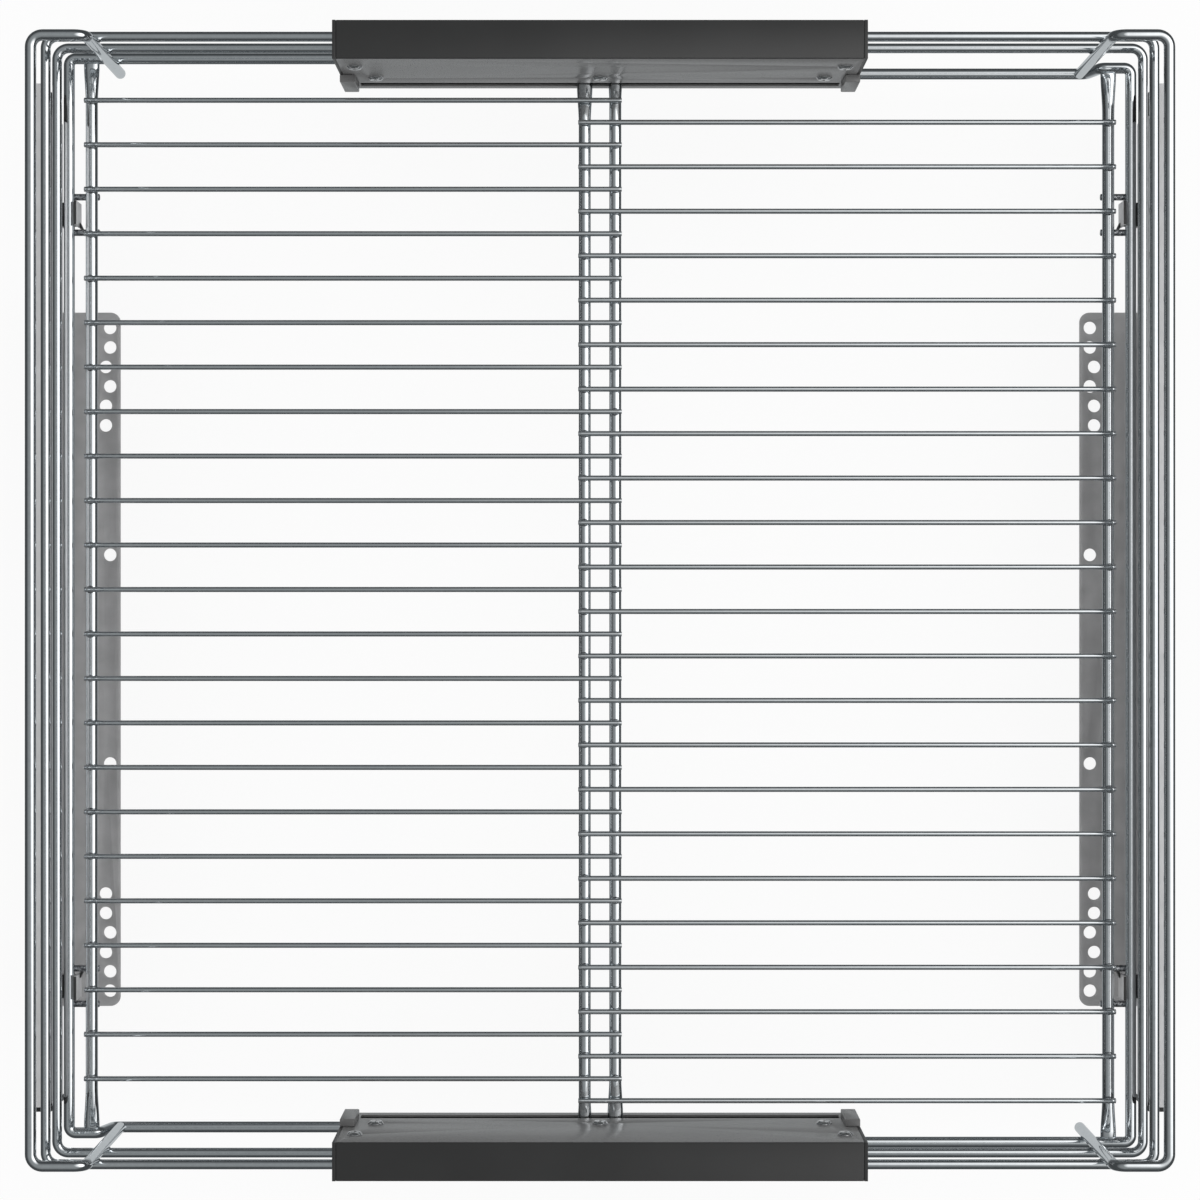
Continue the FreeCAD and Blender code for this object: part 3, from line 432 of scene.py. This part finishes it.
def half_basket(side, turn):
    """turn is 1 for the left half, and -1 for the right one, the same part turned round."""

    def spot(x, y, z):
        return Vector((x * turn, y * turn, z))

    frame_low, frame_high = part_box("left_top_frame")
    frame_x, leg_x = frame_low.x + FRAME_R, frame_high.x - FRAME_R
    leg_y = frame_high.y - FRAME_R
    top_z, leg_z = frame_high.z - FRAME_R, frame_low.z
    form = bmesh.new()
    path = [(leg_x, leg_y, leg_z), (leg_x, leg_y, top_z), (frame_x, leg_y, top_z),
            (frame_x, -leg_y, top_z), (leg_x, -leg_y, top_z), (leg_x, -leg_y, leg_z)]
    bend_wire(form, turned(path, turn), FRAME_R, BEND, FRAME_R * HEAVY_TIP)
    for node in ("upper_wire", "middle_wire"):
        z = middle_of(*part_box("left_" + node)).z
        for way in (-1, 1):
            add_bead(form, spot(leg_x, (leg_y + FRAME_R) * way, z), ARM_BEAD)
    make_piece(form, f"{side}_top_frame_wire", f"{side}_top_frame")

    for node in ("upper_wire", "middle_wire"):
        low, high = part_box("left_" + node)
        wall_x, arm_y, z = low.x + WALL_R, high.y - WALL_R, middle_of(low, high).z
        form = bmesh.new()
        path = [(high.x, arm_y, z), (wall_x, arm_y, z), (wall_x, -arm_y, z), (high.x, -arm_y, z)]
        bend_wire(form, turned(path, turn), WALL_R, BEND, WALL_R * HEAVY_TIP)
        make_piece(form, f"{side}_{node}_bent", f"{side}_{node}")

    low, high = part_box("left_base_wire")
    base_x, base_y, base_z = low.x + BASE_R, high.y - BASE_R, high.z - BASE_R
    low_y, low_z = low.y + BASE_R, low.z + BASE_R
    jog_x = leg_x - JOG_PLACE
    path = [(high.x, base_y, base_z), (base_x, base_y, base_z), (base_x, low_y, base_z),
            (jog_x, low_y, base_z), (jog_x + JOG_RUN, low_y, low_z), (high.x, low_y, low_z)]
    form = bmesh.new()
    bend_wire(form, turned(path, turn), BASE_R, BASE_BEND, BASE_R * HEAVY_TIP)
    make_piece(form, f"{side}_base_wire_bent", f"{side}_base_wire")

    low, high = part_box("left_side_floor_bar")
    side_x, bar_top = middle_of(low, high).x, high.z
    bar_z = bar_top - BAR_R
    form = bmesh.new()
    draw_floor_bar(form, side_x, high.y, low.y, bar_z, turn)
    for y in (high.y, low.y):
        add_bead(form, spot(side_x, y, bar_z), BAR_END_BEAD)
    make_piece(form, f"{side}_side_floor_bar_drawn", f"{side}_side_floor_bar")

    low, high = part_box("left_inner_floor_bar")
    inner_x = middle_of(low, high).x
    form = bmesh.new()
    draw_floor_bar(form, inner_x, high.y, low.y + BAR_R * FLAT_HEIGHT, bar_z, turn, low.z)
    make_piece(form, f"{side}_inner_floor_bar_drawn", f"{side}_inner_floor_bar")

    low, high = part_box("left_floor_wires")
    first_y, last_y, z = high.y - THIN_R, low.y + THIN_R, high.z - THIN_R
    form = bmesh.new()
    for i in range(FLOOR_WIRES):
        y = first_y + (last_y - first_y) * i / (FLOOR_WIRES - 1)
        bend_wire(form, [spot(low.x, y, z), spot(high.x, y, z)], THIN_R, BEND,
                  THIN_R * LIGHT_TIP, THIN_SIDES)
        for x in (side_x, inner_x):
            drift = steady.uniform(-BEAD_DRIFT, BEAD_DRIFT) * MM
            add_bead(form, spot(x + drift, y, bar_top + BEAD_LIFT), CROSSING_BEAD)
    make_piece(form, f"{side}_floor_wires_welded", f"{side}_floor_wires")

    low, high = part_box("left_clip_bars")
    clip_z = middle_of(low, high).z
    form = bmesh.new()
    first_y, last_y = low.y + CLIP_R, high.y - CLIP_R
    for y in (first_y, first_y + CLIP_PITCH, last_y - CLIP_PITCH, last_y):
        bend_wire(form, [spot(low.x, y, clip_z), spot(high.x, y, clip_z)], CLIP_R, BEND,
                  CLIP_R * LIGHT_TIP, CLIP_SIDES)
        for x in (base_x, side_x):
            add_bead(form, spot(x, y, clip_z + CLIP_R), CLIP_BEAD)
    for face in form.faces:
        face.material_index = WELD
    make_piece(form, f"{side}_clip_bars_welded", f"{side}_clip_bars")


half_basket("left", 1)
half_basket("right", -1)


# ---------------------------------------------------------------- sheet metal and covers

MERGE = 0.01 * MM             # corners nearer than this are one
FLAT = math.radians(0.5)      # faces that turn less than this are one
HARD = math.radians(38)       # edges that turn more than this are rounded
UPWARD = 0.9                  # a face whose normal rises more than this looks up


def ease_edges(node, width, finish=None, upward_finish=None):
    """A copy of a node with its hard edges rounded, where the faces that look up may have a
    finish of their own."""
    form = bmesh.new()
    form.from_mesh(nodes[node].data)
    bmesh.ops.remove_doubles(form, verts=form.verts, dist=MERGE)
    bmesh.ops.dissolve_limit(form, angle_limit=FLAT, use_dissolve_boundaries=False,
                             verts=form.verts, edges=form.edges, delimit={"NORMAL"})
    for face in form.faces:
        face.smooth = True
        face.material_index = 1 if upward_finish and face.normal.z > UPWARD else 0
    mesh = bpy.data.meshes.new(node + "_eased")
    form.to_mesh(mesh)
    form.free()
    piece = bpy.data.objects.new(node + "_eased", mesh)
    bpy.context.scene.collection.objects.link(piece)
    mesh.materials.append(finish or finishes[slot_of[node]])
    if upward_finish:
        mesh.materials.append(upward_finish)
    ease = piece.modifiers.new("ease", "BEVEL")
    ease.width = width
    ease.segments = 2
    ease.limit_method = "ANGLE"
    ease.angle_limit = HARD
    ease.harden_normals = True
    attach(piece, body_of[node])
    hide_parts(node)


# how far each node's edges are rounded, in mm
RUNNER_EDGES = [("cabinet_rail", 0.25), ("middle_rail", 0.25), ("drawer_rail", 0.25),
                ("front_buffer", 0.5), ("rear_stop", 0.5), ("hooks", 0.25), ("hook_latches", 0.2),
                ("bracket", 0.3), ("bracket_rivets", 0.3)]
COVER_EDGES = [("cover_shell", 0.5), ("inner_plate", 0.25), ("end_caps", 0.4), ("end_lugs", 0.5),
               ("wire_guides", 0.3), ("centre_spacer", 0.3), ("cover_screws", 0.12)]
# the drawer rails' zinc is darkened as painted shade for the gap beside the base wire
runner_finishes = {"drawer_rail": rail_zinc_painted_shade, "bracket": bracket_zinc}
runner_upward_finishes = {"hooks": cut_steel}


def runner(side):
    for node, rounding in RUNNER_EDGES:
        ease_edges(f"{side}_{node}", rounding * MM, runner_finishes.get(node),
                   runner_upward_finishes.get(node))


def cover(side):
    for node, rounding in COVER_EDGES:
        ease_edges(f"{side}_{node}", rounding * MM)


for runner_side in ("left", "right"):
    runner(runner_side)
for cover_side in ("rear", "front"):
    cover(cover_side)


# ---------------------------------------------------------------- floor and light

FLOOR_HALF = 9
FLOOR_Z = -0.0005
SOFTBOX_X = 2.45              # half the softbox's width and depth
SOFTBOX_Y = 1.75
SOFTBOX_SPOT = (2.2, 0.4, 1.55)
SOFTBOX_POWER = 1.6
# how much of the softbox shines, from near its middle out to its rim
SOFTBOX_FADE = [(0.6, 1.0), (0.747, 0.55), (0.864, 0.30), (0.94, 0.13), (1.0, 0.0)]
# what polished metal sees of the room, from straight below to straight above
ROOM_TONES = [(0.0, (0.50, 0.52, 0.53)), (0.035, (0.48, 0.50, 0.51)),
              (0.12, (0.10, 0.105, 0.11)), (0.3, (0.055, 0.06, 0.062)),
              (0.72, (0.06, 0.065, 0.068)), (0.87, (0.20, 0.21, 0.215)),
              (1.0, (0.27, 0.285, 0.29))]


def lay_floor():
    """A pale floor that polished metal doesn't mirror."""
    mesh = bpy.data.meshes.new("floor")
    form = bmesh.new()
    bmesh.ops.create_grid(form, x_segments=1, y_segments=1, size=FLOOR_HALF)
    form.to_mesh(mesh)
    form.free()
    floor = bpy.data.objects.new("floor", mesh)
    floor.location = (0, 0, FLOOR_Z)
    floor.visible_glossy = False
    bpy.context.scene.collection.objects.link(floor)
    material, tree, shader = new_material("floor")
    shader.inputs["Base Color"].default_value = (0.08, 0.08, 0.08, 1)
    shader.inputs["Roughness"].default_value = 0.9
    shader.inputs["Specular IOR Level"].default_value = 0
    shader.inputs["Emission Color"].default_value = (1, 1, 1, 1)
    shader.inputs["Emission Strength"].default_value = 0.9
    mesh.materials.append(material)


def hang_softbox():
    """An oval softbox over the right rear, which fades out towards its rim."""
    mesh = bpy.data.meshes.new("softbox")
    form = bmesh.new()
    disc = bmesh.ops.create_circle(form, cap_ends=True, radius=1, segments=64)["verts"]
    bmesh.ops.scale(form, verts=disc, vec=(SOFTBOX_X, SOFTBOX_Y, 1))
    form.to_mesh(mesh)
    form.free()
    softbox = bpy.data.objects.new("softbox", mesh)
    softbox.location = SOFTBOX_SPOT
    softbox.visible_camera = False
    bpy.context.scene.collection.objects.link(softbox)
    material = bpy.data.materials.new("softbox")
    material.use_nodes = True
    tree = material.node_tree
    tree.nodes.remove(tree.nodes["Principled BSDF"])
    where = tree.nodes.new("ShaderNodeTexCoord")
    shares = add_node(tree, "ShaderNodeMapping", Scale=(1 / SOFTBOX_X, 1 / SOFTBOX_Y, 1))
    reach = tree.nodes.new("ShaderNodeVectorMath")
    reach.operation = "LENGTH"
    tree.links.new(where.outputs["Object"], shares.inputs["Vector"])
    tree.links.new(shares.outputs["Vector"], reach.inputs[0])
    shining = ramp(tree, reach.outputs["Value"], SOFTBOX_FADE)
    lamp = add_node(tree, "ShaderNodeEmission", Strength=SOFTBOX_POWER)
    clear = tree.nodes.new("ShaderNodeBsdfTransparent")
    fade = tree.nodes.new("ShaderNodeMixShader")
    tree.links.new(shining, fade.inputs["Fac"])
    tree.links.new(clear.outputs["BSDF"], fade.inputs[1])
    tree.links.new(lamp.outputs["Emission"], fade.inputs[2])
    tree.links.new(fade.outputs["Shader"], tree.nodes["Material Output"].inputs["Surface"])
    mesh.materials.append(material)


def light_room():
    """A plain bright room, which polished metal sees as grey overhead, dark at the horizon and
    light below."""
    world = bpy.data.worlds.new("room")
    world.use_nodes = True
    bpy.context.scene.world = world
    tree = world.node_tree
    plain = tree.nodes["Background"]
    plain.inputs["Color"].default_value = (0.97, 0.97, 0.97, 1)
    plain.inputs["Strength"].default_value = 1.0
    where = tree.nodes.new("ShaderNodeTexCoord")
    axes = tree.nodes.new("ShaderNodeSeparateXYZ")
    tree.links.new(where.outputs["Generated"], axes.inputs["Vector"])
    height = add_node(tree, "ShaderNodeMapRange")
    height.inputs["From Min"].default_value = -1
    tree.links.new(axes.outputs["Z"], height.inputs["Value"])
    tones = ramp(tree, height.outputs["Result"], ROOM_TONES)
    studio = add_node(tree, "ShaderNodeBackground", Strength=1.0)
    tree.links.new(tones, studio.inputs["Color"])
    ray = tree.nodes.new("ShaderNodeLightPath")
    choice = tree.nodes.new("ShaderNodeMixShader")
    tree.links.new(ray.outputs["Is Glossy Ray"], choice.inputs["Fac"])
    tree.links.new(plain.outputs["Background"], choice.inputs[1])
    tree.links.new(studio.outputs["Background"], choice.inputs[2])
    tree.links.new(choice.outputs["Shader"], tree.nodes["World Output"].inputs["Surface"])


lay_floor()
hang_softbox()
light_room()
bpy.context.scene.view_settings.view_transform = "Standard"
